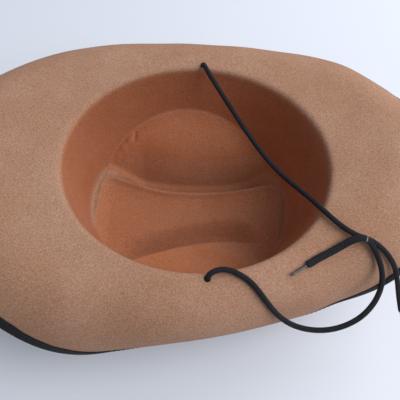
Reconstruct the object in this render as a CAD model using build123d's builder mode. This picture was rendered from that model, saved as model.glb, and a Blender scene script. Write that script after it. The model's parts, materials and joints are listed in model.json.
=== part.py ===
from build123d import *
import os
from math import cos, hypot, pi, radians, sin, tan

os.makedirs("parts", exist_ok=True)

# Felt cowboy hat standing upside down on its crown, in millimetres.
# +Z up, +X towards the front of the hat, origin under the middle of its box.

# --- driving dimensions -------------------------------------------------
FELT = 2.5                  # thickness of the felt
BREAK_Z = 108.0             # height of the brim break, where the crown meets the brim
HEAD_A, HEAD_B = 100.0, 85.0    # half length and half width of the head opening, inside
CENTRE = (10.7, 7.2)        # centre of the head opening

TIP_NARROW_A, TIP_NARROW_B = 16.0, 15.0   # how much narrower the crown is at its tip
TIP_BACK = 9.0              # how far the tip sits behind the opening's centre
TAPER = 1.6                 # the wall starts plumb and leans in towards the tip

DENT_TOP = 57.0             # height where the side dent leaves the wall
DENT_SLOPE = 0.75           # rise of the dent's face per millimetre across
RIDGE_HALF = 3.0            # half width of the fold inside each ridge
CREASE_DEEP = 20.0          # height of the crease's floor inside the crown

BINDING_WIDE = 6.5          # binding on each face of the brim
BINDING = 0.8               # thickness of the binding tape
GAP = 0.05                  # slack between tape and felt
WIRE_D = 1.6                # brim wire in the fold of the tape
FOLD = 1.3                  # from the felt's edge to the middle of the fold
SLEEVE_D, SLEEVE_L = 2.2, 8.0  # sleeve that joins the wire's ends, at the back
THREAD = 0.5                # seam thread

CORD_D = 3.8                # round braided chin cord
HOLE_D = 4.6                # punched holes at the brim break
HOLE_OUT = 4.7              # from the opening's edge to the middle of a hole
BAND_OUT = 5.5              # the same to the corners of the cord's run round the crown
FAR_HOLE, NEAR_HOLE = 91.0, -79.5     # where the holes are, round the opening
BAND_Z = 95.0               # height where the cord runs round the crown
CORE_D, CORE_L = 1.7, 13.0  # bare core at each end of the cord
CRIMP_WIRE = 0.9            # wire staple that holds the two strands together

# The brim round the opening: angle from the front, flat stretch, radius of the roll,
# degrees of the roll, straight stretch at the edge, degrees of lift.
BRIM = [
    (-90, 13.0, 29.5, 107, 21.0, 0.0),
    (-75, 8.0, 30.0, 107, 24.0, 0.0),
    (-60, 5.5, 32.5, 106, 23.0, 0.0),
    (-46, 5.0, 38.0, 103, 15.0, 1.0),
    (-33, 8.0, 44.0, 90, 8.5, 2.5),
    (-18, 24.0, 58.0, 50, 8.5, 6.0),
    (0, 42.0, 90.0, 16, 8.5, 8.5),
    (15, 45.0, 60.0, 34, 8.5, 7.0),
    (29, 45.0, 41.0, 62, 8.5, 4.0),
    (44, 37.0, 37.5, 82, 8.5, 1.5),
    (60, 24.0, 32.5, 96, 14.0, 0.0),
    (75, 16.5, 28.5, 100, 23.0, 0.0),
    (90, 13.5, 27.5, 100, 26.0, 0.0),
    (105, 15.5, 28.5, 100, 24.0, 0.0),
    (118, 20.5, 31.0, 99, 18.0, 0.0),
    (131, 28.5, 36.0, 91, 10.0, 1.0),
    (143, 39.5, 39.0, 78, 8.5, 2.5),
    (159, 54.0, 45.0, 52, 8.5, 5.0),
    (180, 58.0, 100.0, 17, 8.5, 8.0),
    (206, 50.0, 85.0, 24, 8.5, 6.5),
    (226, 35.0, 60.0, 47, 8.5, 3.0),
    (240, 24.0, 48.0, 74, 8.5, 1.0),
    (250, 18.0, 40.0, 98, 9.5, 0.0),
    (260, 15.0, 33.5, 106, 15.0, 0.0),
]

# The ridges of the crown, station by station from back to front: place along the
# hat, then the far and the near ridge across it.
RIDGES = [(-100, 38, -52), (-55, 29, -46), (-10, 27, -31), (30, 32, -22), (85, 47, -22)]


def inner_radius(angle):
    """Distance from the opening's centre to its edge."""
    c, s = cos(radians(angle)), sin(radians(angle))
    return HEAD_A * HEAD_B / hypot(HEAD_B * c, HEAD_A * s)


def radial_plane(angle):
    """Upright plane through the opening's centre, its x pointing outwards."""
    c, s = cos(radians(angle)), sin(radians(angle))
    return Plane(origin=(*CENTRE, 0), x_dir=(c, s, 0), z_dir=(s, -c, 0))


def brim_line(station):
    """Corner points of the brim's upper line, the edge's direction and its normal."""
    angle, flat, radius, roll, tail, lift = station
    a, b = radians(lift), radians(lift - roll)
    start = (inner_radius(angle), BREAK_Z)
    bend = (start[0] + flat * cos(a), start[1] + flat * sin(a))
    hub = (bend[0] + radius * sin(a), bend[1] - radius * cos(a))
    crest = (hub[0] - radius * sin((a + b) / 2), hub[1] + radius * cos((a + b) / 2))
    leave = (hub[0] - radius * sin(b), hub[1] + radius * cos(b))
    edge = (leave[0] + tail * cos(b), leave[1] + tail * sin(b))
    return start, bend, crest, leave, edge, (cos(b), sin(b)), (-sin(b), cos(b)), hub, (a + b) / 2


def at(point, along, n_along, across, n_across):
    """The point moved along the edge's direction and along its normal."""
    return (
        point[0] + along * n_along[0] + across * n_across[0],
        point[1] + along * n_along[1] + across * n_across[1],
    )


def brim_section(station):
    """Section of the felt brim in its radial plane."""
    angle, flat, radius, roll, tail, lift = station
    start, bend, crest, leave, edge, way, normal, hub, mid = brim_line(station)
    a = radians(lift)
    down = (sin(a), -cos(a))
    inner = radius - FELT
    low_crest = (hub[0] - inner * sin(mid), hub[1] + inner * cos(mid))
    low_bend = at(bend, FELT, down, 0, down)
    low_leave = at(leave, 0, way, -FELT, normal)
    low_edge = at(edge, 0, way, -FELT, normal)
    low_start = (start[0], low_bend[1] - (low_bend[0] - start[0]) * tan(a))
    with BuildSketch(radial_plane(angle)) as section:
        with BuildLine():
            Line(start, bend)
            ThreePointArc(bend, crest, leave)
            Line(leave, edge)
            Line(edge, low_edge)
            Line(low_edge, low_leave)
            ThreePointArc(low_leave, low_crest, low_bend)
            Line(low_bend, low_start)
            Line(low_start, start)
        make_face()
    return section.sketch


def binding_section(station):
    """Section of the tape folded round the brim's edge."""
    *_, edge, way, normal, hub, mid = brim_line(station)
    slot, skin = FELT / 2 + GAP, FELT / 2 + GAP + BINDING

    def p(along, across):
        return at(edge, along, way, across - FELT / 2, normal)

    with BuildSketch(radial_plane(station[0])) as section:
        with BuildLine():
            Line(p(-BINDING_WIDE, slot), p(FOLD, slot))
            ThreePointArc(p(FOLD, slot), p(FOLD + slot, 0), p(FOLD, -slot))
            Line(p(FOLD, -slot), p(-BINDING_WIDE, -slot))
            Line(p(-BINDING_WIDE, -slot), p(-BINDING_WIDE, -skin))
            Line(p(-BINDING_WIDE, -skin), p(FOLD, -skin))
            ThreePointArc(p(FOLD, -skin), p(FOLD + skin, 0), p(FOLD, skin))
            Line(p(FOLD, skin), p(-BINDING_WIDE, skin))
            Line(p(-BINDING_WIDE, skin), p(-BINDING_WIDE, slot))
        make_face()
    return section.sketch


def thread_section(station, side):
    """Section of the seam thread lying on the tape, above (+1) or below (-1) the brim."""
    *_, edge, way, normal, hub, mid = brim_line(station)
    low = side * (FELT / 2 + GAP + BINDING)
    high = low + side * THREAD * 0.7
    inner, outer = 1.2 - BINDING_WIDE, 1.2 + THREAD - BINDING_WIDE

    def p(along, across):
        return at(edge, along, way, across - FELT / 2, normal)

    with BuildSketch(radial_plane(station[0])) as section:
        with BuildLine():
            Polyline(p(inner, low), p(outer, low), p(outer, high), p(inner, high), close=True)
        make_face()
    return section.sketch


def wire_section(station):
    """Eight-sided section of the brim wire in the fold of the tape."""
    *_, edge, way, normal, hub, mid = brim_line(station)
    with BuildSketch(radial_plane(station[0])) as section:
        with Locations(at(edge, FOLD, way, -FELT / 2, normal)):
            RegularPolygon(WIRE_D / 2, 8)
    return section.sketch


def brim_station(angle):
    """Measures of the brim at any angle, on a smooth closed curve through the table."""
    rows = [(row[0] + turn, *row[1:]) for turn in (-360, 0, 360) for row in BRIM]
    i = max(k for k, row in enumerate(rows) if row[0] <= angle)
    before, here, there, after = rows[i - 1 : i + 3]
    span = there[0] - here[0]
    t = (angle - here[0]) / span
    measures = []
    for b, h, n, a in list(zip(before, here, there, after))[1:]:
        leave = (n - b) / (there[0] - before[0]) * span
        reach = (a - h) / (after[0] - here[0]) * span
        measures.append(
            (2 * t**3 - 3 * t**2 + 1) * h + (t**3 - 2 * t**2 + t) * leave
            + (3 * t**2 - 2 * t**3) * n + (t**3 - t**2) * reach
        )
    return angle, *measures


FRONT_HALF = [brim_station(-90 + 7.5 * step) for step in range(25)]
BACK_HALF = [brim_station(90 + 7.5 * step) for step in range(25)]


# --- crown ----------------------------------------------------------------
def hole_centre(angle):
    """Middle of the punched hole at an angle round the opening."""
    reach = inner_radius(angle) + HOLE_OUT
    return CENTRE[0] + reach * cos(radians(angle)), CENTRE[1] + reach * sin(radians(angle))


def hole_point(angle, z):
    """Point on a hole's axis, from the opening's centre."""
    reach = inner_radius(angle) + HOLE_OUT
    return reach * cos(radians(angle)), reach * sin(radians(angle)), z


def band_point(angle, z):
    """Point of the cord's run round the outside of the crown, from the opening's centre."""
    reach = inner_radius(angle) + BAND_OUT
    return reach * cos(radians(angle)), reach * sin(radians(angle)), z


def placed(route):
    """A route measured from the opening's centre, as absolute points."""
    return [(CENTRE[0] + x, CENTRE[1] + y, z) for x, y, z in route]


# Heights inside the crown and how far the shoulder has turned in there.
CROWN_HEIGHTS = [
    (110.0, 0), (90.0, 0), (66.0, 0), (42.0, 0),
    (24.0, 0.5), (14.0, 2.5), (7.0, 7.0), (2.5, 15.0),
]
SHOULDER_TURN = 7.0     # how far the shoulder has turned in where its skin lies flat below


def crown_oval(z, turn, skin):
    """Oval of the crown at a height; skin 0 is the inside of the felt."""
    lean = max(0.0, (BREAK_Z - z) / BREAK_Z) ** TAPER
    level = z - skin * min(1.0, turn / SHOULDER_TURN)
    with BuildSketch(Plane.XY.offset(level)) as oval:
        with Locations((CENTRE[0] - TIP_BACK * lean, CENTRE[1])):
            Ellipse(HEAD_A - TIP_NARROW_A * lean - turn + skin, HEAD_B - TIP_NARROW_B * lean - turn + skin)
    return oval.sketch


SPACE_Z, SPACE_Y = -25, 120     # how far the cut-out spaces of the dents reach


def cross_plane(x, way):
    """Upright plane across the hat, its x pointing to the far (+1) or near (-1) side."""
    return Plane(origin=(CENTRE[0] + x, CENTRE[1], 0), x_dir=(0, way, 0), z_dir=(way, 0, 0))


def dent_z(x, y):
    """Height inside the crown of a side dent's face."""
    u = x + 10
    return DENT_TOP - DENT_SLOPE * (80 - abs(y)) - 0.12 * u - 0.0015 * u * u


def dent_section(x, ridge, skin):
    """Section across the hat of the space outside a side dent."""
    side = 1 if ridge > 0 else -1
    foot = abs(ridge) + RIDGE_HALF
    shoulder = foot + 8
    top = max(dent_z(x, shoulder), 8.0)
    outer = max(dent_z(x, SPACE_Y), top + 12)
    points = [(foot, FELT), (shoulder, top), (SPACE_Y, outer), (SPACE_Y, SPACE_Z), (foot, SPACE_Z)]
    with BuildSketch(cross_plane(x, side)) as section:
        with BuildLine():
            Polyline(*points, close=True)
        make_face()
        if skin:
            offset(amount=-skin, kind=Kind.INTERSECTION)
    return section.sketch


def crease_section(x, far, near, skin):
    """Section across the hat of the space outside the central crease."""
    left, right = near + RIDGE_HALF, far - RIDGE_HALF
    rim = CREASE_DEEP - 2
    points = [
        (left, SPACE_Z), (left, FELT), (left + 6, rim), ((near + far) / 2, CREASE_DEEP),
        (right - 6, rim), (right, FELT), (right, SPACE_Z),
    ]
    with BuildSketch(cross_plane(x, 1)) as section:
        with BuildLine():
            Polyline(*points, close=True)
        make_face()
        if skin:
            offset(amount=-skin, kind=Kind.INTERSECTION)
    return section.sketch


# --- felt body: crown and brim, one moulded piece -------------------------
with BuildPart() as far_dent:
    loft([dent_section(x, far, FELT) for x, far, near in RIDGES])

with BuildPart() as near_dent:
    loft([dent_section(x, near, FELT) for x, far, near in RIDGES])

with BuildPart() as crease:
    loft([crease_section(x, far, near, FELT) for x, far, near in RIDGES])

with BuildPart() as far_dent_inside:
    loft([dent_section(x, far, 0) for x, far, near in RIDGES])

with BuildPart() as near_dent_inside:
    loft([dent_section(x, near, 0) for x, far, near in RIDGES])

with BuildPart() as crease_inside:
    loft([crease_section(x, far, near, 0) for x, far, near in RIDGES])

with BuildPart() as cavity:
    loft([crown_oval(z, turn, 0) for z, turn in CROWN_HEIGHTS])
    add(far_dent_inside.part, mode=Mode.SUBTRACT)
    add(near_dent_inside.part, mode=Mode.SUBTRACT)
    add(crease_inside.part, mode=Mode.SUBTRACT)

with BuildPart() as brim_front:
    loft([brim_section(station) for station in FRONT_HALF])

with BuildPart() as brim_back:
    loft([brim_section(station) for station in BACK_HALF])

with BuildPart() as felt_body:
    loft([crown_oval(z, turn, FELT) for z, turn in CROWN_HEIGHTS])
    with BuildSketch(Plane.XY.offset(BREAK_Z - 0.4)):
        Rectangle(400, 400)
    extrude(amount=20, mode=Mode.SUBTRACT)
    add(far_dent.part, mode=Mode.SUBTRACT)
    add(near_dent.part, mode=Mode.SUBTRACT)
    add(crease.part, mode=Mode.SUBTRACT)
    add(brim_front.part)
    add(brim_back.part)
    add(cavity.part, mode=Mode.SUBTRACT)
    with Locations(*[(*hole_centre(angle), BREAK_Z) for angle in (FAR_HOLE, NEAR_HOLE)]):
        Cylinder(HOLE_D / 2, 16, mode=Mode.SUBTRACT)

# --- edge of the brim -----------------------------------------------------
with BuildPart() as edge_binding:
    loft([binding_section(station) for station in FRONT_HALF])
    loft([binding_section(station) for station in BACK_HALF])

with BuildPart() as needle_thread:
    loft([thread_section(station, 1) for station in FRONT_HALF])
    loft([thread_section(station, 1) for station in BACK_HALF])

with BuildPart() as bobbin_thread:
    loft([thread_section(station, -1) for station in FRONT_HALF])
    loft([thread_section(station, -1) for station in BACK_HALF])

with BuildPart() as brim_wire:
    loft([wire_section(station) for station in FRONT_HALF])
    loft([wire_section(station) for station in BACK_HALF])



def wire_point(angle):
    """Middle of the brim wire at an angle round the opening."""
    *_, edge, way, normal, hub, mid = brim_line(brim_station(angle))
    out, z = at(edge, FOLD, way, -FELT / 2, normal)
    return Vector(CENTRE[0] + out * cos(radians(angle)), CENTRE[1] + out * sin(radians(angle)), z)


with BuildPart() as brim_wire_sleeve:
    with BuildSketch(Plane(origin=wire_point(180), z_dir=wire_point(182) - wire_point(178))):
        Circle(SLEEVE_D / 2)
    extrude(amount=SLEEVE_L / 2, both=True)
    add(brim_wire.part, mode=Mode.SUBTRACT)

# --- cord -----------------------------------------------------------------
# One braided cord: its middle runs round the front of the crown, outside, and
# its two ends come up through the holes. A point is where two straight runs meet.
CROWN_ROUTE = placed(
    [hole_point(NEAR_HOLE, 103.0), hole_point(NEAR_HOLE, 98.5)]
    + [band_point(angle, BAND_Z) for angle in (-77.4, -73.0, -66.0, -56.0, -43.0, -29.0, -15.0)]
    + [band_point(angle, BAND_Z + 1.0) for angle in (0.0, 15.0, 30.0, 44.0)]
    + [band_point(angle, BAND_Z) for angle in (57.0, 68.0, 77.0, 84.0, 88.8)]
    + [hole_point(FAR_HOLE, 98.5), hole_point(FAR_HOLE, 103.0)]
)
FAR_ROUTE = placed([
    hole_point(FAR_HOLE, 103.0), hole_point(FAR_HOLE, 109.7),
    (0.4, 84.8, 112.0), (5.0, 77.4, 111.0), (12.3, 68.7, 106.5), (22.2, 57.3, 100.5),
    (34.8, 41.7, 94.5), (49.8, 23.3, 89.5), (63.8, 6.1, 90.5), (76.0, -9.4, 98.0),
    (87.1, -23.9, 107.2), (96.7, -36.9, 112.6), (106.4, -45.4, 113.0), (114.5, -50.3, 113.3),
    (120.6, -52.0, 112.6), (126.0, -52.9, 111.4), (132.1, -55.3, 108.8), (139.9, -59.1, 103.4),
    (147.6, -64.9, 94.6), (153.9, -72.0, 81.0), (159.6, -79.0, 66.0), (165.9, -86.8, 52.0),
])
NEAR_ROUTE = placed([
    hole_point(NEAR_HOLE, 103.0), hole_point(NEAR_HOLE, 109.0),
    (17.7, -85.9, 111.6), (21.9, -83.4, 112.4), (26.7, -82.0, 111.2), (32.1, -82.2, 110.4),
    (37.6, -84.4, 110.3), (43.1, -87.2, 110.1), (48.7, -91.6, 108.8), (55.0, -97.8, 105.1),
    (62.2, -103.7, 97.5), (70.4, -108.3, 90.5), (80.1, -111.2, 86.0), (91.1, -112.2, 84.0),
    (102.8, -111.1, 84.0), (113.9, -107.4, 85.0), (123.9, -101.4, 87.0), (131.6, -93.2, 89.0),
    (136.6, -84.1, 91.0), (138.5, -75.1, 94.0), (136.4, -68.0, 98.7), (131.7, -62.2, 103.3),
    (125.8, -58.2, 109.0), (119.7, -56.4, 111.4), (113.4, -57.0, 111.7), (106.6, -59.6, 110.8),
    (99.1, -63.1, 109.8), (90.6, -68.0, 109.0), (82.2, -74.2, 108.8),
])


def radii(route):
    """Radius at each inner point: 0.45 of the shorter run over the tangent of half the turn."""
    points = [Vector(*point) for point in route]
    runs = [b - a for a, b in zip(points, points[1:])]
    return [
        0.45 * min(a.length, b.length) / tan(radians(a.get_angle(b) / 2))
        for a, b in zip(runs, runs[1:])
    ]


def cord_tube(name, route):
    """Round tube along straight runs joined by tangent arcs."""
    with BuildPart() as tube:
        with BuildLine() as path:
            FilletPolyline(*route, radius=radii(route))
        with BuildSketch(Plane(origin=path.line @ 0, z_dir=path.line % 0)):
            Circle(CORD_D / 2)
        sweep()
    length = sum(edge.length for edge in path.edges())
    print(name, "length", round(length, 1), "volume over section times length",
          round(tube.part.volume / (pi * CORD_D**2 / 4 * length), 4))
    print("   radii", [round(r, 1) for r in radii(route)])
    return tube.part


def cord_core(route):
    """Bare core that sticks out of the end of the braid, with its sealed bead."""
    end = Vector(*route[-1])
    way = (end - Vector(*route[-2])).normalized()
    with BuildPart() as core:
        with BuildSketch(Plane(origin=end, z_dir=way)):
            Circle(CORE_D / 2)
        extrude(amount=CORE_L)
        with BuildSketch(Plane(origin=end + way * (CORE_L - 2.0), z_dir=way)):
            Circle(CORE_D / 2 + 0.3)
        extrude(amount=2.0)
    return core.part


crown_cord = cord_tube("crown_cord", CROWN_ROUTE)
chin_cord_far = cord_tube("chin_cord_far", FAR_ROUTE)
chin_cord_near = cord_tube("chin_cord_near", NEAR_ROUTE)
cord_core_far = cord_core(FAR_ROUTE)
cord_core_near = cord_core(NEAR_ROUTE)

# Wire staple round both strands where they meet.
far_at, near_at = (Vector(*point) for point in placed([(120.6, -52.0, 112.6), (119.7, -56.4, 111.4)]))
across = near_at - far_at
staple_plane = Plane(origin=(far_at + near_at) * 0.5, x_dir=(0, across.Y, across.Z), z_dir=(1, 0, 0))
with BuildPart() as cord_staple:
    with BuildSketch(staple_plane):
        SlotCenterToCenter((near_at - far_at).length, CORD_D + 0.8 + 2 * CRIMP_WIRE)
        SlotCenterToCenter((near_at - far_at).length, CORD_D + 0.8, mode=Mode.SUBTRACT)
    extrude(amount=CRIMP_WIRE / 2, both=True)

# --- write ----------------------------------------------------------------
PIECES = {
    "felt_body": felt_body.part,
    "edge_binding": edge_binding.part,
    "needle_thread": needle_thread.part,
    "bobbin_thread": bobbin_thread.part,
    "brim_wire": brim_wire.part,
    "brim_wire_sleeve": brim_wire_sleeve.part,
    "crown_cord": crown_cord,
    "chin_cord_far": chin_cord_far,
    "chin_cord_near": chin_cord_near,
    "cord_core_far": cord_core_far,
    "cord_core_near": cord_core_near,
    "cord_staple": cord_staple.part,
}
for name, piece in PIECES.items():
    piece.label = name
    export_step(piece, f"parts/{name}.step")
    box = piece.bounding_box()
    print(name, round(piece.volume), [round(v, 2) for v in (*box.min, *box.max)])
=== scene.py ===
"""Felt cowboy hat standing upside down on its crown, with a braided chin cord."""

import json
import math

import bpy
import numpy as np
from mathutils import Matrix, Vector


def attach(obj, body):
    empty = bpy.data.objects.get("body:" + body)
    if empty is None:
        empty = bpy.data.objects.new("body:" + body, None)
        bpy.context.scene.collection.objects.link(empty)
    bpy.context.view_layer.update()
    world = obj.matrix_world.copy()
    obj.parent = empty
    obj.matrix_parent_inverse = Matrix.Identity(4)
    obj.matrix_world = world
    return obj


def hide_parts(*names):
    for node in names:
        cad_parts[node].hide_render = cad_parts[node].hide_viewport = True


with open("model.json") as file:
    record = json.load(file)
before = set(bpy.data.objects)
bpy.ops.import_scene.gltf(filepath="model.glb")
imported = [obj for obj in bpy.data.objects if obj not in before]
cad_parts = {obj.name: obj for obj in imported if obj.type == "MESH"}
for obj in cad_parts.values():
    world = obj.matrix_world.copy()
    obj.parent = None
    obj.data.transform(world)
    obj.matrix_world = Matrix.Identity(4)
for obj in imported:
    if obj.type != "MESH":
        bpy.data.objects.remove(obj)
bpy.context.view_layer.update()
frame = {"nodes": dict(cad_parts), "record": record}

# Sizes are in millimetres in the part's frame and become metres when a mesh is made.
MM = 0.001
MOUNTS = {mount["name"]: mount for mount in frame["record"]["mounts"]}
CENTRE_X, CENTRE_Y, BREAK_Z = (value / MM for value in MOUNTS["head_opening"]["pos_m"])

FELT = 2.5
# Half length and half width of the head opening, and how the crown narrows to its top.
HEAD_A, HEAD_B = 100.0, 85.0
TIP_NARROW_A, TIP_NARROW_B, TIP_BACK, TAPER = 16.0, 15.0, 9.0, 1.6
# How far the crown's wall turns in towards its top, at these heights.
TURN_Z, TURN_IN = (2.5, 7.0, 14.0, 24.0, 42.0), (15.0, 7.0, 2.5, 0.5, 0.0)
# Binding tape: width of each side, thickness, gap to the felt, and the fold's reach past the edge.
BINDING_WIDE, BINDING, GAP, FOLD = 6.5, 0.8, 0.05, 1.3
SEAM_IN = 1.45                  # from the tape's hem to the seam
RIB_PITCH = 0.9                 # between the tape's ribs
STITCH_PITCH, STITCH_LENGTH, STITCH_THICK = 3.4, 2.9, 0.26
# Cord and its holes; the holes and the band stand this far outside the opening.
CORD_D, HOLE_D, HOLE_OUT, BAND_OUT = 3.8, 4.6, 4.7, 5.5
FAR_HOLE, NEAR_HOLE, BAND_Z = 91.0, -79.5, 95.0
CORE_D, CORE_L = 1.7, 13.0
HOLE_CUT = 16.0                 # length of the round tool that cuts a hole
CORD_STEP = 0.4                 # between the points read from a cord's route
STRANDS, LAY = 6, 13.0          # yarns each way round the braid, and its lay
BRAID_RADIUS, BRAID_RISE = 1.52, 0.17
YARN_WIDE, YARN_THICK, FILLING_RADIUS = 0.62, 0.30, 1.42
# Stretches before a strand's end: where it is pressed flat, how slowly, and where it closes.
FLAT_RUN, FLAT_EASE, CLOSE_RUN = 62.0, 25.0, 2.2
STAPLE_RADIUS, STAPLE_GAP, STAPLE_LAP = 0.2, 0.3, 0.35
ROUND = 360                     # sections of the felt round the opening

# The brim round the opening: angle from the front, flat stretch, radius of the roll,
# degrees of the roll, straight stretch at the edge, degrees of lift.
BRIM = np.array([
    (-90, 13.0, 29.5, 107, 21.0, 0.0),
    (-75, 8.0, 30.0, 107, 24.0, 0.0),
    (-60, 5.5, 32.5, 106, 23.0, 0.0),
    (-46, 5.0, 38.0, 103, 15.0, 1.0),
    (-33, 8.0, 44.0, 90, 8.5, 2.5),
    (-18, 24.0, 58.0, 50, 8.5, 6.0),
    (0, 42.0, 90.0, 16, 8.5, 8.5),
    (15, 45.0, 60.0, 34, 8.5, 7.0),
    (29, 45.0, 41.0, 62, 8.5, 4.0),
    (44, 37.0, 37.5, 82, 8.5, 1.5),
    (60, 24.0, 32.5, 96, 14.0, 0.0),
    (75, 16.5, 28.5, 100, 23.0, 0.0),
    (90, 13.5, 27.5, 100, 26.0, 0.0),
    (105, 15.5, 28.5, 100, 24.0, 0.0),
    (118, 20.5, 31.0, 99, 18.0, 0.0),
    (131, 28.5, 36.0, 91, 10.0, 1.0),
    (143, 39.5, 39.0, 78, 8.5, 2.5),
    (159, 54.0, 45.0, 52, 8.5, 5.0),
    (180, 58.0, 100.0, 17, 8.5, 8.0),
    (206, 50.0, 85.0, 24, 8.5, 6.5),
    (226, 35.0, 60.0, 47, 8.5, 3.0),
    (240, 24.0, 48.0, 74, 8.5, 1.0),
    (250, 18.0, 40.0, 98, 9.5, 0.0),
    (260, 15.0, 33.5, 106, 15.0, 0.0),
])

# The folds on both sides of the crown's centre crease: place along the hat, then the
# far and the near fold across it, from the opening's centre.
RIDGES = np.array([
    (-100, 38, -52),
    (-55, 29, -46),
    (-10, 27, -31),
    (30, 32, -22),
    (85, 47, -22),
], float)


# --- small helpers ----------------------------------------------------------
def smooth_step(value):
    t = np.clip(value, 0.0, 1.0)
    return t * t * (3 - 2 * t)


def smooth_max(a, b, width):
    """The larger of two heights, with a round fillet of about that width between them."""
    h = np.clip(0.5 + 0.5 * (a - b) / width, 0, 1)
    return b + (a - b) * h + width * h * (1 - h)


def smooth_min(a, b, width):
    return -smooth_max(-a, -b, width)


def bell(value, width):
    return np.exp(-((value / width) ** 2))


def run_along(points):
    """Length along a line from its first point to each of its points."""
    steps = np.linalg.norm(np.diff(points, axis=0), axis=1)
    return np.concatenate([[0], np.cumsum(steps)])


def curve_through(table, place):
    """Smooth curve through the rows of a table whose first column is the place."""
    x, rows = table[:, 0], table[:, 1:]
    i = np.clip(np.searchsorted(x, place, side="right") - 1, 1, len(x) - 3)
    span = (x[i + 1] - x[i])[..., None]
    t = (place[..., None] - x[i][..., None]) / span
    leave = (rows[i + 1] - rows[i - 1]) / (x[i + 1] - x[i - 1])[..., None] * span
    reach = (rows[i + 2] - rows[i]) / (x[i + 2] - x[i])[..., None] * span
    return (
        (2 * t**3 - 3 * t**2 + 1) * rows[i] + (t**3 - 2 * t**2 + t) * leave
        + (3 * t**2 - 2 * t**3) * rows[i + 1] + (t**3 - t**2) * reach
    )


def brim_measures(angle):
    """Flat stretch, radius, roll, tail and lift at angles; roll and lift are in radians."""
    turns = [BRIM + np.array([turn, 0, 0, 0, 0, 0]) for turn in (-360, 0, 360)]
    place = (np.degrees(angle) + 90) % 360 - 90
    flat, radius, roll, tail, lift = np.moveaxis(curve_through(np.vstack(turns), place), -1, 0)
    return flat, radius, np.radians(roll), tail, np.radians(lift)


def opening_radius(angle):
    return HEAD_A * HEAD_B / np.hypot(HEAD_B * np.cos(angle), HEAD_A * np.sin(angle))


def place_outside(angle, distance):
    """Place at an angle in degrees and a distance outside the opening, from its centre."""
    turn = math.radians(angle)
    reach = opening_radius(turn) + distance
    return reach * math.cos(turn), reach * math.sin(turn)


def brim_line(angle, share, above):
    """Distance out and height along the brim's upper line, raised by above along its normal."""
    flat, radius, roll, tail, lift = (m[:, None] for m in brim_measures(angle))
    run = share[None, :] * (flat + radius * roll + tail)
    on_flat = np.minimum(run, flat)
    on_roll = np.clip(run - flat, 0, radius * roll)
    on_tail = np.maximum(run - flat - radius * roll, 0)
    slope = lift - on_roll / radius
    out = on_flat * np.cos(lift) + radius * (np.sin(lift) - np.sin(slope)) + on_tail * np.cos(slope)
    up = on_flat * np.sin(lift) + radius * (np.cos(slope) - np.cos(lift)) + on_tail * np.sin(slope)
    out = opening_radius(angle)[:, None] + out - above * np.sin(slope)
    return out, BREAK_Z + up + above * np.cos(slope), slope


def wall_radius(angle, z, skin):
    """Distance from the opening's centre to the crown's wall; skin 0 is the inside of the felt."""
    lean = np.clip((BREAK_Z - z) / BREAK_Z, 0, 1) ** TAPER
    turn = np.interp(z, TURN_Z, TURN_IN)
    a = HEAD_A - TIP_NARROW_A * lean - turn + skin
    b = HEAD_B - TIP_NARROW_B * lean - turn + skin
    shift = -TIP_BACK * lean
    c, s = np.cos(angle), np.sin(angle)
    p, q = c * c / a**2 + s * s / b**2, c * shift / a**2
    return (q + np.sqrt(q * q - p * (shift**2 / a**2 - 1))) / p


# --- inside of the crown ------------------------------------------------------
GROOVE_Z, PANEL_Z = 3.0, 20.0
FOLD_IN, FOLD_WIDE = 1.5, 2.6       # the fold round the panel: place inside its outline, width
PUCKERS = ((-66, 53), (-72, 47), (-78, 41), (-83, 36))
PUCKER_HIGH, PUCKER_WIDE = 0.9, 2.8
FOOT_WINDOW = 13                    # sections that share in one height of the wall's foot


def dent_height(x, y):
    """Height of a side dent's face where it leaves the wall."""
    u = x + 10
    return 57.0 - 0.75 * (80 - np.abs(y)) - 0.12 * u - 0.0015 * u * u


def panel_rim(x, y):
    """How far inside the crease's outline a point is, and how much its rim shows there."""
    far, near = np.moveaxis(curve_through(RIDGES, x), -1, 0)
    back = x + 91.0 - 0.0022 * (y + 8) ** 2
    front = 77.0 - x - 0.0010 * (y + 2) ** 2
    side = far - 8.5 - 5.5 * smooth_step((x + 85) / 60) - y
    inside = smooth_min(smooth_min(back, front, 9.0), side, 12.0)
    turned_down = (1 - smooth_step((y - near + 3) / 20)) * smooth_step((x + 100) / 78)
    seen = 1 - turned_down * (1 - smooth_step((x - 38) / 16) * smooth_step((y - near + 1) / 6))
    return inside, turned_down, seen


def groove_height(x):
    """Height of the grooves beside the centre crease, which rise to its rim at both ends."""
    return GROOVE_Z + 20.5 * smooth_step((-50 - x) / 36) + 20.0 * smooth_step((x - 38) / 36)


def panel_height(x, y, groove_z, fine):
    """The raised panel of the centre crease; fine adds the fold that stands up round it."""
    inside, turned_down, seen = panel_rim(x, y)
    level = smooth_step(1 + inside / 7.5) * (1 - turned_down)
    panel = groove_z + (PANEL_Z - groove_z) * level
    panel = panel - 3.0 * smooth_step((inside - 2) / 12) * (1 - turned_down)
    if not fine:
        return panel
    fold = 3.1 + 0.9 * smooth_step((-70 - x) / 12)
    panel = panel + fold * bell(inside - FOLD_IN, FOLD_WIDE) * seen
    return np.where(inside < FOLD_IN, np.maximum(panel, groove_z), panel)


def across_dent(x, y, groove, way):
    """Distance from a groove towards the wall, and what share of the way that is."""
    across = way * (y - groove)
    place = np.arctan2(y, x)
    reach = np.maximum(wall_radius(place, 50.0, 0.0) * np.abs(np.sin(place)), 1)
    return across, np.clip(across / np.maximum(reach - np.abs(groove), 8), 0, 1)


def with_dent(floor, x, y, across, swell, steep, fillet):
    """The floor with a side dent's face, which swells and ends in a steep side at its groove."""
    face = smooth_min(dent_height(x, y) + swell, steep, fillet)
    return smooth_max(floor, np.where(across > -12, face, -60.0), 3.0)


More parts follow.
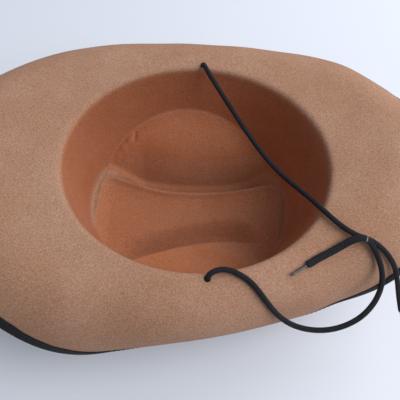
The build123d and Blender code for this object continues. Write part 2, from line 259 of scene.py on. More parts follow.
def puckers(x, y):
    """Puckers where the far dent leaves the wall, and the short crease between them."""
    bumps = sum(bell(np.hypot(x - px, y - py), PUCKER_WIDE) for px, py in PUCKERS)
    return PUCKER_HIGH * bumps - 2.0 * bell(x + 61, 1.3) * bell(y - 55, 4.0)


def crown_floor(x, y, fine):
    """Height of the crown's inside over a point, from the opening's centre."""
    far, near = np.moveaxis(curve_through(RIDGES, x), -1, 0)
    groove_z = groove_height(x)
    floor = panel_height(x, y, groove_z, fine)
    across, share = across_dent(x, y, far, 1)
    swell = 7.0 * np.sin(np.pi * share) ** 0.8
    floor = with_dent(floor, x, y, across, swell, groove_z + 2.2 * (across - 1.5), 15.0)
    # The near dent stands higher towards the front, and flat to its edge.
    across, share = across_dent(x, y, near - 2.2 + 0.05 * np.minimum(x, 0), -1)
    swell = 8.0 * (1 - share) + 0.0017 * np.clip(x, 0, 70) ** 2
    floor = with_dent(floor, x, y, across, swell, groove_z + 3.8 * (across - 1.8), 4.0)
    if fine:
        floor = floor + puckers(x, y)
    return np.maximum(floor, GROOVE_Z - 0.5)


def wall_foot(angle, skin):
    """Height at each angle where the crown's floor meets its wall, evened out round the crown."""
    levels = np.linspace(3.0, 70.0, 400)
    reach = wall_radius(angle[:, None], levels, skin)
    floor = floor_height(reach * np.cos(angle)[:, None], reach * np.sin(angle)[:, None], skin)
    last = len(levels) - 1 - np.argmax((floor > levels)[:, ::-1], axis=1)
    window = np.hanning(FOOT_WINDOW)
    # Three rounds of heights, so that the first and the last section get neighbours as well.
    rounds = np.tile(levels[last], 3)
    return np.convolve(rounds, window / window.sum(), "same")[len(angle):2 * len(angle)]


def crown_path(angle, skin, n_floor, n_wall, top):
    """Section of the crown at each angle, from its middle along the floor and up the wall."""
    foot = wall_foot(angle, skin)
    along = wall_radius(angle, foot, skin)[:, None] * np.linspace(0, 1, n_floor)
    floor = floor_height(along * np.cos(angle)[:, None], along * np.sin(angle)[:, None], skin)
    height = foot[:, None] + (top - foot[:, None]) * np.linspace(0, 1, n_wall + 1)[1:]
    wall = wall_radius(angle[:, None], height, skin)
    return np.concatenate([along, wall], axis=1), np.concatenate([floor, height], axis=1)


def floor_height(x, y, skin):
    """Inside of the crown for skin 0; for the outside, the same less the felt's thickness."""
    if not skin:
        return crown_floor(x, y, True)
    step, steepest = 1.0, 2.2
    height = crown_floor(x, y, False)
    dx = (crown_floor(x + step, y, False) - height) / step
    dy = (crown_floor(x, y + step, False) - height) / step
    return np.maximum(height - skin * np.minimum(np.sqrt(1 + dx * dx + dy * dy), steepest), 0.0)


def relax(out, z, weight, rounds):
    """Rounds the corners of sections where weight is above 0."""
    for _ in range(rounds):
        for line in (out, z):
            middle = 0.25 * line[:, :-2] + 0.5 * line[:, 1:-1] + 0.25 * line[:, 2:]
            line[:, 1:-1] += weight[1:-1] * (middle - line[:, 1:-1])


# --- meshes ------------------------------------------------------------------
def make_object(name, points, faces, material):
    """Smooth mesh from points in millimetres, riding on the hat."""
    mesh = bpy.data.meshes.new(name)
    mesh.from_pydata((np.asarray(points) * MM).tolist(), [], [list(face) for face in faces])
    mesh.update()
    piece = bpy.data.objects.new(name, mesh)
    bpy.context.scene.collection.objects.link(piece)
    mesh.materials.append(material)
    mesh.polygons.foreach_set("use_smooth", [True] * len(mesh.polygons))
    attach(piece, "root")
    return piece


def grid_faces(rows, columns, close_rows, close_columns):
    """Quads over a grid of points, with either direction closed on itself."""
    i = np.arange(rows if close_rows else rows - 1)[:, None]
    j = np.arange(columns if close_columns else columns - 1)[None, :]
    here, following = i * columns, (i + 1) % rows * columns
    right = (j + 1) % columns
    corners = np.broadcast_arrays(here + j, following + j, following + right, here + right)
    return np.stack(corners, -1).reshape(-1, 4)


def tube_faces(rows, columns, start=0):
    """Faces of a closed tube of rings, whose first point has the number start."""
    faces = (grid_faces(rows, columns, False, True) + start).tolist()
    last = start + (rows - 1) * columns
    faces.append(list(range(start, start + columns)))
    faces.append(list(range(last, last + columns))[::-1])
    return faces


def tube_points(line, side, up, x, y):
    """Rings of points round a line: x to the side and y up from each of its points."""
    return line[:, None] + x[..., None] * side[..., None, :] + y[..., None] * up[..., None, :]


def round_angles(count):
    return np.linspace(0, 2 * np.pi, count, endpoint=False)


def ring_points(angle, out, z):
    """Points at angles round the opening, distances from its centre and heights."""
    x = CENTRE_X + out * np.cos(angle)[:, None]
    y = CENTRE_Y + out * np.sin(angle)[:, None]
    return np.stack([x, y, np.broadcast_to(z, x.shape)], -1)


# --- materials ----------------------------------------------------------------
def new_material(name):
    material = bpy.data.materials.new(name)
    material.use_nodes = True
    tree = material.node_tree
    return material, tree, tree.nodes["Principled BSDF"]


def add_node(tree, kind, **values):
    node = tree.nodes.new(kind)
    for key, value in values.items():
        if hasattr(node, key):
            setattr(node, key, value)
        else:
            node.inputs[key.replace("_", " ")].default_value = value
    return node


def noise(tree, place, scale, detail=3.0, rough=0.6, stretch=None):
    """Noise over object space; scale is features per metre."""
    node = add_node(tree, "ShaderNodeTexNoise", Scale=scale, Detail=detail, Roughness=rough)
    if stretch:
        mapping = add_node(tree, "ShaderNodeMapping", vector_type="POINT")
        mapping.inputs["Scale"].default_value = stretch
        tree.links.new(place, mapping.inputs["Vector"])
        place = mapping.outputs["Vector"]
    tree.links.new(place, node.inputs["Vector"])
    return node.outputs["Fac"]


def ramp(tree, value, *stops):
    """Colour ramp with (place, colour) stops."""
    node = tree.nodes.new("ShaderNodeValToRGB")
    elements = node.color_ramp.elements
    while len(elements) < len(stops):
        elements.new(0.5)
    for element, (place, colour) in zip(elements, stops):
        element.position = place
        element.color = (*colour, 1)
    tree.links.new(value, node.inputs["Fac"])
    return node.outputs["Color"]


def mix_colours(tree, share, first, second, blend="MIX"):
    node = tree.nodes.new("ShaderNodeMix")
    node.data_type = "RGBA"
    node.blend_type = blend
    for socket, value in ((node.inputs[0], share), (node.inputs[6], first), (node.inputs[7], second)):
        if isinstance(value, bpy.types.NodeSocket):
            tree.links.new(value, socket)
        else:
            socket.default_value = value
    return node.outputs[2]


def bump(tree, shader, *layers):
    """Chains (height, strength, distance in metres) layers into the shader's normal."""
    normal = None
    for height, strength, distance in layers:
        node = add_node(tree, "ShaderNodeBump", Strength=strength, Distance=distance)
        tree.links.new(height, node.inputs["Height"])
        if normal:
            tree.links.new(normal, node.inputs["Normal"])
        normal = node.outputs["Normal"]
    tree.links.new(normal, shader.inputs["Normal"])


def object_place(tree):
    return tree.nodes.new("ShaderNodeTexCoord").outputs["Object"]


def felt_material():
    """Tan wool felt: matted fibres, fine fuzz and faint cloudy patches, with a deeper, redder painted
    shade inside the crown.
    """
    material, tree, shader = new_material("wool_felt")
    place = object_place(tree)
    cloud = noise(tree, place, 22.0, 4.0, 0.55)
    felt_colour = ramp(
        tree, cloud,
        (0.30, (0.345, 0.182, 0.112)), (0.52, (0.375, 0.206, 0.132)), (0.74, (0.398, 0.232, 0.156)),
    )
    # Painted shade: a deeper, redder colour inside the crown stands in for its shade and the light
    # reflected within it; the attribute inside sets how much.
    inside_shade_colour = ramp(tree, cloud, (0.30, (0.378, 0.133, 0.056)), (0.70, (0.418, 0.158, 0.078)))
    inside = add_node(tree, "ShaderNodeAttribute", attribute_name="inside")
    base = mix_colours(tree, inside.outputs["Fac"], felt_colour, inside_shade_colour)
    speck = noise(tree, place, 950.0, 4.0, 0.75)
    fibre = noise(tree, place, 520.0, 3.0, 0.7, (1.0, 3.2, 1.6))
    grain = ramp(
        tree, speck,
        (0.28, (0.58, 0.56, 0.54)), (0.5, (0.98, 0.98, 0.98)), (0.72, (1.36, 1.37, 1.38)),
    )
    strands = ramp(tree, fibre, (0.3, (0.90, 0.89, 0.88)), (0.7, (1.10, 1.10, 1.10)))
    speckled = mix_colours(tree, 1.0, base, grain, "MULTIPLY")
    colour = mix_colours(tree, 1.0, speckled, strands, "MULTIPLY")
    tree.links.new(colour, shader.inputs["Base Color"])
    shader.inputs["Roughness"].default_value = 0.95
    shader.inputs["Specular IOR Level"].default_value = 0.15
    shader.inputs["Sheen Weight"].default_value = 0.06
    shader.inputs["Sheen Roughness"].default_value = 0.55
    shader.inputs["Sheen Tint"].default_value = (0.90, 0.72, 0.62, 1)
    lumps = noise(tree, place, 120.0, 3.0)
    bump(tree, shader, (lumps, 0.35, 0.0008), (speck, 0.55, 0.0005), (fibre, 0.4, 0.0004))
    return material


def tape_material():
    """Black ribbed binding tape."""
    material, tree, shader = new_material("black_binding_tape")
    place = object_place(tree)
    uv = tree.nodes.new("ShaderNodeUVMap")
    uv.uv_map = "tape"
    split = tree.nodes.new("ShaderNodeSeparateXYZ")
    tree.links.new(uv.outputs["UV"], split.inputs["Vector"])
    turn = add_node(tree, "ShaderNodeMath", operation="MULTIPLY")
    turn.inputs[1].default_value = 2 * math.pi
    tree.links.new(split.outputs["X"], turn.inputs[0])
    rib = add_node(tree, "ShaderNodeMath", operation="SINE")
    tree.links.new(turn.outputs[0], rib.inputs[0])
    fuzz = noise(tree, place, 900.0, 3.0)
    colour = ramp(tree, fuzz, (0.3, (0.006, 0.006, 0.008)), (0.7, (0.018, 0.017, 0.021)))
    tree.links.new(colour, shader.inputs["Base Color"])
    shader.inputs["Roughness"].default_value = 0.8
    shader.inputs["Specular IOR Level"].default_value = 0.15
    shader.inputs["Sheen Weight"].default_value = 0.03
    bump(tree, shader, (rib.outputs[0], 0.5, 0.0002), (fuzz, 0.4, 0.0002))
    return material


def yarn_material(name, dark, light, roughness, sheen):
    """Spun yarn: fine fibres over a dark ground."""
    material, tree, shader = new_material(name)
    place = object_place(tree)
    fibre = noise(tree, place, 2600.0, 3.0, 0.7)
    patch = noise(tree, place, 160.0, 2.0)
    fine = ramp(tree, fibre, (0.3, dark), (0.72, light))
    wide = ramp(tree, patch, (0.3, (0.8, 0.8, 0.8)), (0.7, (1.15, 1.15, 1.15)))
    tree.links.new(mix_colours(tree, 1.0, fine, wide, "MULTIPLY"), shader.inputs["Base Color"])
    shader.inputs["Roughness"].default_value = roughness
    shader.inputs["Specular IOR Level"].default_value = 0.2
    shader.inputs["Sheen Weight"].default_value = sheen
    bump(tree, shader, (fibre, 0.6, 0.0002))
    return material


def metal_material(name, low, high, roughness):
    """Drawn wire with faint scratches along it."""
    material, tree, shader = new_material(name)
    place = object_place(tree)
    scratch = noise(tree, place, 1400.0, 4.0, 0.7, (1.0, 0.2, 1.0))
    tree.links.new(ramp(tree, scratch, (0.3, low), (0.7, high)), shader.inputs["Base Color"])
    shader.inputs["Metallic"].default_value = 1.0
    shader.inputs["Roughness"].default_value = roughness
    bump(tree, shader, (scratch, 0.3, 0.0001))
    return material


def core_material():
    """Smoky plastic core of the cord, with faint streaks."""
    material, tree, shader = new_material("smoky_core")
    place = object_place(tree)
    streak = noise(tree, place, 1500.0, 3.0, 0.6, (0.3, 1.0, 1.0))
    colour = ramp(tree, streak, (0.3, (0.030, 0.022, 0.022)), (0.7, (0.115, 0.090, 0.085)))
    tree.links.new(colour, shader.inputs["Base Color"])
    shader.inputs["Roughness"].default_value = 0.35
    bump(tree, shader, (streak, 0.3, 0.0001))
    return material


def floor_material():
    """Smooth pale board with faint unevenness."""
    material, tree, shader = new_material("pale_board")
    patch = noise(tree, object_place(tree), 3.0, 2.0)
    colour = ramp(tree, patch, (0.3, (0.70, 0.73, 0.79)), (0.7, (0.72, 0.75, 0.81)))
    tree.links.new(colour, shader.inputs["Base Color"])
    shader.inputs["Roughness"].default_value = 0.7
    return material


WOOL = felt_material()
TAPE = tape_material()
THREAD = yarn_material("black_thread", (0.008, 0.008, 0.010), (0.032, 0.031, 0.036), 0.6, 0.05)
CORD = yarn_material("black_cord", (0.004, 0.004, 0.006), (0.018, 0.018, 0.024), 0.65, 0.05)
STEEL = metal_material("steel_wire", (0.42, 0.42, 0.43), (0.62, 0.62, 0.63), 0.35)
SILVER = metal_material("silver_staple", (0.42, 0.43, 0.46), (0.66, 0.67, 0.70), 0.32)
CORE = core_material()

# --- felt body ------------------------------------------------------------------
# Points along a section: crown floor, wall and brim, then the same on the underside.
N_FLOOR, N_WALL, N_BRIM = 110, 60, 96
N_UNDER, N_WALL_OUT, N_FLOOR_OUT = 40, 30, 60
LEFT_OUT = 2            # points left out at the break of the underside, for its fillet


def unevenness(angle, out, z):
    """Small soft waves of hand-shaped felt."""
    x, y = out * np.cos(angle)[:, None], out * np.sin(angle)[:, None]
    broad = 0.35 * np.sin(0.061 * x + 0.9) * np.sin(0.053 * y + 2.1)
    return broad + 0.2 * np.sin(0.13 * x - 0.09 * y + 0.02 * z)


def upper_skin(angle):
    """Inside of the crown and top of the brim, from the middle to the edge."""
    crown_out, crown_z = crown_path(angle, 0.0, N_FLOOR, N_WALL, BREAK_Z)
    brim_out, brim_z, _ = brim_line(angle, np.linspace(0, 1, N_BRIM + 1)[1:], 0.0)
    out = np.concatenate([crown_out, brim_out], axis=1)
    z = np.concatenate([crown_z, brim_z], axis=1)
    past_foot = np.arange(out.shape[1]) - N_FLOOR
    past_break = past_foot - N_WALL
    relax(out, z, bell(past_break, 7.0), 22)
    relax(out, z, bell(past_foot, 4.0), 5)
    return ring_points(angle, out, z + unevenness(angle, out, z) * smooth_step(past_break / 30))


def lower_skin(angle):
    """Underside of the brim and outside of the crown, from the edge to the middle."""
    brim_out, brim_z, _ = brim_line(angle, np.linspace(1, 0, N_UNDER), -FELT)
    crown_out, crown_z = crown_path(angle, FELT, N_FLOOR_OUT, N_WALL_OUT, BREAK_Z - FELT)
    out = np.concatenate([brim_out[:, :-LEFT_OUT], crown_out[:, ::-1]], axis=1)
    z = np.concatenate([brim_z[:, :-LEFT_OUT], crown_z[:, ::-1]], axis=1)
    past_break = np.arange(out.shape[1]) - (N_UNDER - LEFT_OUT)
    relax(out, z, np.maximum(bell(past_break, 2.5), bell(past_break - N_WALL_OUT, 5.0)), 10)
    z = np.maximum(z, 0.0)
    before_break = smooth_step((LEFT_OUT - past_break) / 12)
    return ring_points(angle, out, z + unevenness(angle, out, z) * before_break)


def felt_body():
    """Crown and brim as one closed skin: inner middle, out over the brim, back to the outer middle."""
    angle = round_angles(ROUND)
    upper, lower = upper_skin(angle), lower_skin(angle)
    points = np.concatenate([upper[:, 1:], lower[:, :-1]], axis=1)
    columns = points.shape[1]
    faces = grid_faces(ROUND, columns, True, False).tolist()
    middle_in, middle_out = len(points) * columns, len(points) * columns + 1
    for i in range(ROUND):
        j = (i + 1) % ROUND
        faces.append((middle_in, j * columns, i * columns))
        faces.append((middle_out, i * columns + columns - 1, j * columns + columns - 1))
    points = np.vstack([points.reshape(-1, 3), upper[0, 0], lower[0, -1]])
    piece = make_object("felt_hat", points, [face[::-1] for face in faces], WOOL)
    punch_holes(piece)
    mark_inside(piece.data)
    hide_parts("felt_body")


def mark_inside(mesh):
    """Stores the painted shade of the crown's inside at each point: 1 inside the crown, 0 outside it."""
    places = np.zeros(len(mesh.vertices) * 3)
    mesh.vertices.foreach_get("co", places)
    x, y, z = (places.reshape(-1, 3) / MM - np.array([CENTRE_X, CENTRE_Y, 0])).T
    within = np.hypot(x, y) < wall_radius(np.arctan2(y, x), np.minimum(z, BREAK_Z), FELT / 2)
    above = z > floor_height(x, y, 0.0) - FELT / 2
    # The painted shade sets in over 6 mm below the opening's edge.
    depth = smooth_step((BREAK_Z - 0.5 - z) / 6.0)
    # The folds round the crease and along the far dent get a painted highlight, a paler felt colour,
    # most of all at the left, and the crown's low parts at least a quarter less of the painted shade.
    inside, _, seen = panel_rim(x, y)
    left = smooth_step((-50 - x) / 32)
    rim = (0.55 + 0.45 * left) * bell(inside - 0.8 + 1.6 * left, 2.2 + 1.8 * left) * seen
    low = smooth_step((32 - z) / 5)
    # Painted highlight along the top edge of the far dent's face.
    dent_rim = bell(z - dent_height(x, y) + 0.5, 1.6) * smooth_step((y - 38) / 12)
    painted_highlight = np.maximum(np.maximum(rim, 0.24) * low, 0.35 * dent_rim * smooth_step((60 - x) / 30))
    # Painted shade of the crown's inside, less where the folds carry their painted highlight.
    painted_shade = mesh.attributes.new("inside", "FLOAT", "POINT")
    painted_shade.data.foreach_set("value", depth * within * above * (1 - painted_highlight))


def punch_holes(piece):
    """Cuts the two round holes for the cord through the brim."""
    for angle in (FAR_HOLE, NEAR_HOLE):
        x, y = place_outside(angle, HOLE_OUT)
        place = ((CENTRE_X + x) * MM, (CENTRE_Y + y) * MM, BREAK_Z * MM)
        bpy.ops.mesh.primitive_cylinder_add(
            vertices=24, radius=HOLE_D / 2 * MM, depth=HOLE_CUT * MM, location=place
        )
        cutter = bpy.context.object
        cut = piece.modifiers.new("hole", "BOOLEAN")
        cut.operation, cut.object, cut.solver = "DIFFERENCE", cutter, "EXACT"
        evaluated = piece.evaluated_get(bpy.context.evaluated_depsgraph_get())
        shaped = bpy.data.meshes.new_from_object(evaluated)
        piece.modifiers.clear()
        piece.data = shaped
        bpy.data.objects.remove(cutter)


# --- edge of the brim -------------------------------------------------------------
def edge_frames(angle):
    """Edge of the brim at angles: the angles, distances out, heights and slopes there."""
    out, z, slope = brim_line(angle, np.array([1.0]), 0.0)
    return angle, out[:, 0], z[:, 0], slope[:, 0]


def edge_points(frames, along, across):
    """Points beside the edge: along the brim's direction, and across from the felt's middle."""
    angle, out, z, slope = frames
    lift = across - FELT / 2
    r = out[:, None] + along * np.cos(slope)[:, None] - lift * np.sin(slope)[:, None]
    h = z[:, None] + along * np.sin(slope)[:, None] + lift * np.cos(slope)[:, None]
    return ring_points(angle, r, h + unevenness(angle, r, h))


def tape_section(bend):
    """Closed section of the tape, and which of its points is the outside of the fold's middle."""
    inner, outer = FELT / 2 + GAP, FELT / 2 + GAP + BINDING
    hem = [
        (-BINDING_WIDE, inner + 0.12), (-BINDING_WIDE - 0.25, (inner + outer) / 2),
        (-BINDING_WIDE + 0.1, outer - 0.1), (-BINDING_WIDE + 0.9, outer + 0.05), (-3.0, outer),
    ]
    fold_out = [(FOLD + outer * math.cos(a), outer * math.sin(a)) for a in bend]
    fold_in = [(FOLD + inner * math.cos(a), inner * math.sin(a)) for a in bend[::-1]]
    other_hem = [(along, -across) for along, across in reversed(hem)]
    return np.array(hem + fold_out + other_hem + fold_in), len(hem) + len(bend) // 2


def map_tape(mesh, rows, columns, ribs):
    """UV map of the tape: first the ribs counted round the brim, then the place in its section."""
    loops = np.zeros(len(mesh.loops), int)
    mesh.loops.foreach_get("vertex_index", loops)
    row, column = loops // columns, loops % columns
    face_row = np.arange(len(loops)) // 4 // columns
    closing = (face_row == rows - 1) & (row == 0)
    uv = np.stack([np.where(closing, ribs[-1], ribs[row]), column / columns], -1)
    mesh.uv_layers.new(name="tape").data.foreach_set("uv", uv.ravel())


def edge_binding():
    """Tape folded round the edge, with soft hems."""
    angle = round_angles(900)
    section, fold_middle = tape_section(np.linspace(math.pi / 2, -math.pi / 2, 9))
    wave = 0.18 * np.sin(angle * 61) + 0.12 * np.sin(angle * 97 + 1)
    at_hem = section[:, 0] < 1.5 - BINDING_WIDE
    along = section[:, 0] + wave[:, None] * at_hem
    points = edge_points(edge_frames(angle), along, np.broadcast_to(section[:, 1], along.shape))
    faces = grid_faces(len(angle), len(section), True, True)
    piece = make_object("binding_tape", points.reshape(-1, 3), faces, TAPE)
    fold = points[:, fold_middle]
    ribs = run_along(np.vstack([fold, fold[:1]])) / RIB_PITCH
    map_tape(piece.data, len(angle), len(section), ribs)
    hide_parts("edge_binding")


# A stitch from end to end: place along it, thickness as a share, and rise off the tape.
STITCH = np.array([
    (-0.5, 0.25, -0.25), (-0.42, 0.8, 0.0), (-0.2, 1.0, 0.12),
    (0.2, 1.0, 0.12), (0.42, 0.8, 0.0), (0.5, 0.25, -0.25),
])


def seam_places():
    """Angles of the stitches' rings, one row for each stitch."""
    angle = round_angles(3600)
    column = np.ones((len(angle), 1))
    seam = edge_points(edge_frames(angle), (SEAM_IN - BINDING_WIDE) * column, column)[:, 0]
    run = run_along(np.vstack([seam, seam[:1]]))
    count = int(run[-1] / STITCH_PITCH)
    middle = (np.arange(count) + 0.5) * run[-1] / count
    return np.interp(middle[:, None] + STITCH[:, 0] * STITCH_LENGTH, run, np.append(angle, 2 * np.pi))


def stitches(name, node, side):
    """A row of short lockstitches along the tape's hem, on its upper side (1) or lower side (-1)."""
    spin = round_angles(6)
    angle = seam_places()
    thick, rise = (np.tile(column, len(angle))[:, None] for column in STITCH[:, 1:].T)
    along = SEAM_IN - BINDING_WIDE + STITCH_THICK * thick * np.cos(spin)
    across = side * (FELT / 2 + GAP + BINDING + rise) + STITCH_THICK * thick * np.sin(spin)
    points = edge_points(edge_frames(angle.ravel()), along, across).reshape(-1, 3)
    faces = []
    for start in range(0, len(points), len(STITCH) * len(spin)):
        faces += tube_faces(len(STITCH), len(spin), start)
    piece = make_object(name, points, faces, THREAD)
    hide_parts(node)


# --- cord ------------------------------------------------------------------------------
def hole_point(angle, z):
    return *place_outside(angle, HOLE_OUT), z


def band_point(angle, z):
    return *place_outside(angle, BAND_OUT), z


# The routes of the CAD model, from the opening's centre.
CROWN_ROUTE = (
    [hole_point(NEAR_HOLE, 103.0), hole_point(NEAR_HOLE, 98.5)]
    + [band_point(angle, BAND_Z) for angle in (-77.4, -73.0, -66.0, -56.0, -43.0, -29.0, -15.0)]
    + [band_point(angle, BAND_Z + 1.0) for angle in (0.0, 15.0, 30.0, 44.0)]
    + [band_point(angle, BAND_Z) for angle in (57.0, 68.0, 77.0, 84.0, 88.8)]
    + [hole_point(FAR_HOLE, 98.5), hole_point(FAR_HOLE, 103.0)]
)
FAR_ROUTE = [
    hole_point(FAR_HOLE, 103.0), hole_point(FAR_HOLE, 109.7),
    (0.4, 84.8, 112.0), (5.0, 77.4, 111.0), (12.3, 68.7, 106.5), (22.2, 57.3, 100.5),
    (34.8, 41.7, 94.5), (49.8, 23.3, 89.5), (63.8, 6.1, 90.5), (76.0, -9.4, 98.0),
    (87.1, -23.9, 107.2), (96.7, -36.9, 112.6), (106.4, -45.4, 113.0), (114.5, -50.3, 113.3),
    (120.6, -52.0, 112.6), (126.0, -52.9, 111.4), (132.1, -55.3, 108.8), (139.9, -59.1, 103.4),
    (147.6, -64.9, 94.6), (153.9, -72.0, 81.0), (159.6, -79.0, 66.0), (165.9, -86.8, 52.0),
]
NEAR_ROUTE = [
    hole_point(NEAR_HOLE, 103.0), hole_point(NEAR_HOLE, 109.0),
    (17.7, -85.9, 111.0), (21.9, -83.4, 111.7), (26.7, -82.0, 111.0), (32.1, -82.2, 110.4),
    (37.6, -84.4, 110.3), (43.1, -87.2, 110.1), (48.7, -91.6, 108.8), (55.0, -97.8, 105.1),
    (62.2, -103.7, 97.5), (70.4, -108.3, 90.5), (80.1, -111.2, 86.0), (91.1, -112.2, 84.0),
    (102.8, -111.1, 84.0), (113.9, -107.4, 85.0), (123.9, -101.4, 87.0), (131.6, -93.2, 89.0),
    (136.6, -84.1, 91.0), (138.5, -75.1, 94.0), (136.2, -67.0, 99.5), (131.0, -59.6, 106.0),
    (125.4, -54.6, 112.8), (119.6, -52.9, 115.9), (113.0, -54.6, 114.7), (106.5, -58.4, 112.0),
    (99.1, -63.1, 109.8), (90.6, -68.0, 109.0), (82.2, -74.2, 108.8),
]


def cord_line(name, route):
    """Evenly spaced points on a route's smooth line, in millimetres, and the length up to each."""
    curve = bpy.data.curves.new(name + "_route", "CURVE")
    curve.dimensions = "3D"
    curve.resolution_u = 12
    spline = curve.splines.new("NURBS")
    spline.points.add(len(route) - 1)
    for point, (x, y, z) in zip(spline.points, route):
        point.co = ((CENTRE_X + x) * MM, (CENTRE_Y + y) * MM, z * MM, 1)
    spline.order_u = 3
    spline.use_endpoint_u = True
    carrier = bpy.data.objects.new(name + "_route", curve)
    mesh = bpy.data.meshes.new_from_object(carrier)
    points = np.array([vertex.co for vertex in mesh.vertices]) / MM
    bpy.data.objects.remove(carrier)
    run = run_along(points)
    even = np.linspace(0, run[-1], int(run[-1] / CORD_STEP) + 1)
    return np.stack([np.interp(even, run, points[:, k]) for k in range(3)], -1), even


def directions(line):
    way = np.gradient(line, axis=0)
    return way / np.linalg.norm(way, axis=1)[:, None]


def squared(side, way):
    """The side vectors turned square to the way, at length 1."""
    side = side - way * np.sum(side * way, axis=1)[:, None]
    return side / np.linalg.norm(side, axis=1)[:, None]


def cord_frames(line):
    """Level sideways and upward vectors along a line."""
    way = directions(line)
    side = np.cross(way, [0, 0, 1.0])
    # Where the line stands nearly upright, the nearest part that doesn't gives the side.
    level = np.where(np.linalg.norm(side, axis=1) > 0.2)[0]
    nearest = np.abs(np.arange(len(line))[:, None] - level[None, :]).argmin(axis=1)
    side = squared(side[level[nearest]], way)
    return side, np.cross(side, way)


def braid(name, line, run, wide, high):
    """Round braid of flat yarns over a plain filling; wide and high scale its section along it."""
    side, up = cord_frames(line)
    turn = 2 * np.pi * run / LAY
    # Each yarn's section is flat: wide round the cord, thin across it.
    around, across = YARN_WIDE * np.cos(round_angles(6)), YARN_THICK * np.sin(round_angles(6))
    quads = grid_faces(len(line), len(around), False, True)
    points, faces = [], []
    for direction in (1, -1):
        radius = BRAID_RADIUS + direction * BRAID_RISE * np.cos(STRANDS * turn)
        for k in range(STRANDS):
            angle = direction * turn + 2 * np.pi * k / STRANDS
            c, s = np.cos(angle)[:, None], np.sin(angle)[:, None]
            x = ((radius[:, None] + across) * c - around * s) * wide[:, None]
            y = ((radius[:, None] + across) * s + around * c) * high[:, None]
            faces += (quads + len(points) * len(line) * len(around)).tolist()
            points.append(tube_points(line, side, up, x, y).reshape(-1, 3))
    spin = round_angles(12)
    x = FILLING_RADIUS * np.cos(spin) * wide[:, None]
    y = FILLING_RADIUS * np.sin(spin) * high[:, None]
    filling = tube_points(line, side, up, x, y)[::3]
    faces += tube_faces(len(filling), len(spin), sum(len(yarn) for yarn in points))
    points.append(filling.reshape(-1, 3))
    return make_object(name, np.vstack(points), faces, CORD)


def chin_cord(name, node, line, run, flat_end):
    """One free strand of the cord; flat_end 1 presses its end flat."""
    to_end = run[-1] - run
    flat = flat_end * smooth_step((FLAT_RUN - to_end) / FLAT_EASE)
    close = 1 - 0.45 * smooth_step((CLOSE_RUN - to_end) / CLOSE_RUN)
    wide = (1.04 + 0.36 * flat) * close
    high = (0.97 - 0.22 * flat) * close
    piece = braid(name, line, run, wide, high)
    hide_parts(node)


def cord_core(node, line):
    """Smoky core sticking out of the end of a strand, with a pinched dark tip."""
    way = (line[-1] - line[-4]) / np.linalg.norm(line[-1] - line[-4])
    side = np.cross(way, [0, 0, 1.0])
    side /= np.linalg.norm(side)
    place = np.concatenate([np.linspace(-2.0, CORE_L - 3.0, 14), np.linspace(CORE_L - 2.6, CORE_L, 7)])
    pinch = 1 - 0.7 * smooth_step((place - CORE_L + 2.2) / 2.2)
    thick = CORE_D / 2 * pinch * (1 + 0.05 * np.sin(place * 1.9))
    spin = round_angles(16)
    dented = 1 - 0.22 * np.cos(spin) ** 8
    x = thick[:, None] * (1.45 * dented * np.cos(spin))
    y = thick[:, None] * (0.85 * dented * np.sin(spin))
    points = tube_points(line[-1] + place[:, None] * way, side, np.cross(side, way), x, y)
    faces = tube_faces(len(place), len(spin))
    piece = make_object(node + "_tip", points.reshape(-1, 3), faces, CORE)
    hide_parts(node)
    return piece


def staple_line(far_line, near_line):
    """Middle line of the staple, which stands across both strands where they pass closest."""
    gaps = np.linalg.norm((far_line[:, None] - near_line[None])[..., :2], axis=2)
    i, j = np.unravel_index(gaps.argmin(), gaps.shape)
    middle = (far_line[i] + near_line[j]) / 2
    lean = (near_line[j] - far_line[i]) / 2 * np.array([0, 1, 1])
    axis = lean / np.linalg.norm(lean)
    across = np.array([0, -axis[2], axis[1]])
    turn = np.linspace(0, 2 * np.pi * 1.12, 64)
    bend = np.cos(turn)[:, None] * axis + np.sin(turn)[:, None] * across
    # The loop's round halves stand apart, one round each strand.
    stretch = np.clip(1.35 * np.cos(turn), -1, 1)[:, None] * lean
    lap = np.linspace(-STAPLE_LAP, STAPLE_LAP, len(turn))[:, None] * np.array([1.0, 0, 0])
    return middle + stretch + (CORD_D / 2 + STAPLE_GAP) * bend + lap


def cord_staple(far_line, near_line):
    """Thin wire bent round both strands where they cross, its ends laid over each other."""
    line = staple_line(far_line, near_line)
    way = directions(line)
    side = squared(np.tile([1.0, 0, 0], (len(line), 1)), way)
    spin = round_angles(8)
    x, y = STAPLE_RADIUS * np.cos(spin)[None], STAPLE_RADIUS * np.sin(spin)[None]
    points = tube_points(line, side, np.cross(side, way), x, y)
    piece = make_object("strand_staple", points.reshape(-1, 3), tube_faces(len(line), len(spin)), SILVER)
    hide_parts("cord_staple")
    return piece


def crown_run():
    """The cord's middle, which runs round the front of the crown from hole to hole."""
    line, run = cord_line("crown_run", CROWN_ROUTE)
    even = np.ones(len(run))
    piece = braid("crown_cord_braid", line, run, even, even)
    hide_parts("crown_cord")


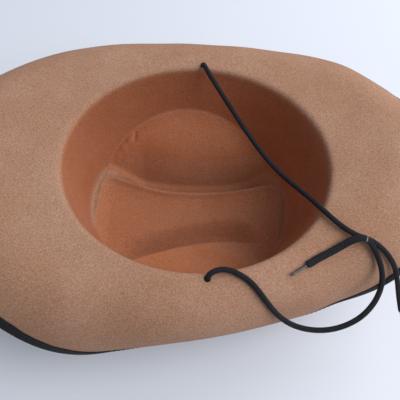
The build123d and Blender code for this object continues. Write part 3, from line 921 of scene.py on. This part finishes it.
felt_body()
edge_binding()
stitches("needle_stitches", "needle_thread", 1)
stitches("bobbin_stitches", "bobbin_thread", -1)
for node in ("brim_wire", "brim_wire_sleeve"):
    mesh = frame["nodes"][node].data
    mesh.materials.clear()
    mesh.materials.append(STEEL)
crown_run()
far_line, far_run = cord_line("chin_cord_far", FAR_ROUTE)
near_line, near_run = cord_line("chin_cord_near", NEAR_ROUTE)
far_pieces = [cord_core("cord_core_far", far_line)]
near_pieces = [cord_core("cord_core_near", near_line), cord_staple(far_line, near_line)]
chin_cord("chin_cord_far_braid", "chin_cord_far", far_line, far_run, 0.0)
chin_cord("chin_cord_near_braid", "chin_cord_near", near_line, near_run, 1.0)

# --- floor, light and camera ----------------------------------------------------------------
bpy.ops.mesh.primitive_plane_add(size=6.0, location=(0, 0, -0.0005))
table_top = bpy.context.object
table_top.name = "floor"
table_top.data.materials.append(floor_material())


def area_light(name, place, size, power, colour):
    """Soft square light aimed at the hat; place is from the point aimed at, in metres."""
    light = bpy.data.lights.new(name, "AREA")
    light.size, light.energy, light.color = size, power, colour
    lamp = bpy.data.objects.new(name, light)
    bpy.context.scene.collection.objects.link(lamp)
    target = Vector((0, 0, 0.08))
    lamp.location = target + Vector(place)
    lamp.rotation_euler = (-Vector(place)).to_track_quat("-Z", "Y").to_euler()


area_light("side_window", (1.25, -0.2, 1.5), 1.5, 33.0, (0.98, 0.98, 1.0))
area_light("far_window", (1.0, 1.4, 1.3), 1.2, 20.0, (0.95, 0.97, 1.0))
world = bpy.data.worlds.new("room_light")
bpy.context.scene.world = world
world.use_nodes = True
world.node_tree.nodes["Background"].inputs["Color"].default_value = (0.84, 0.90, 1.0, 1)
world.node_tree.nodes["Background"].inputs["Strength"].default_value = 0.36
bpy.context.scene.view_settings.view_transform = "Standard"

# The camera looks down over the near side. Its place is from the opening's centre, at a
# height above the floor, and its tilt is from straight down.
CAMERA_X, CAMERA_Y, CAMERA_Z = 18.8, -172.1, 424.9
CAMERA_TILT, CAMERA_TURN, CAMERA_VIEW = 24.0, 5.0, 45.0
camera_data = bpy.data.cameras.new("camera")
camera_data.angle = math.radians(CAMERA_VIEW)
camera = bpy.data.objects.new("camera", camera_data)
bpy.context.scene.collection.objects.link(camera)
camera.location = ((CENTRE_X + CAMERA_X) * MM, (CENTRE_Y + CAMERA_Y) * MM, CAMERA_Z * MM)
camera.rotation_euler = (math.radians(CAMERA_TILT), 0, math.radians(CAMERA_TURN))
bpy.context.scene.camera = camera
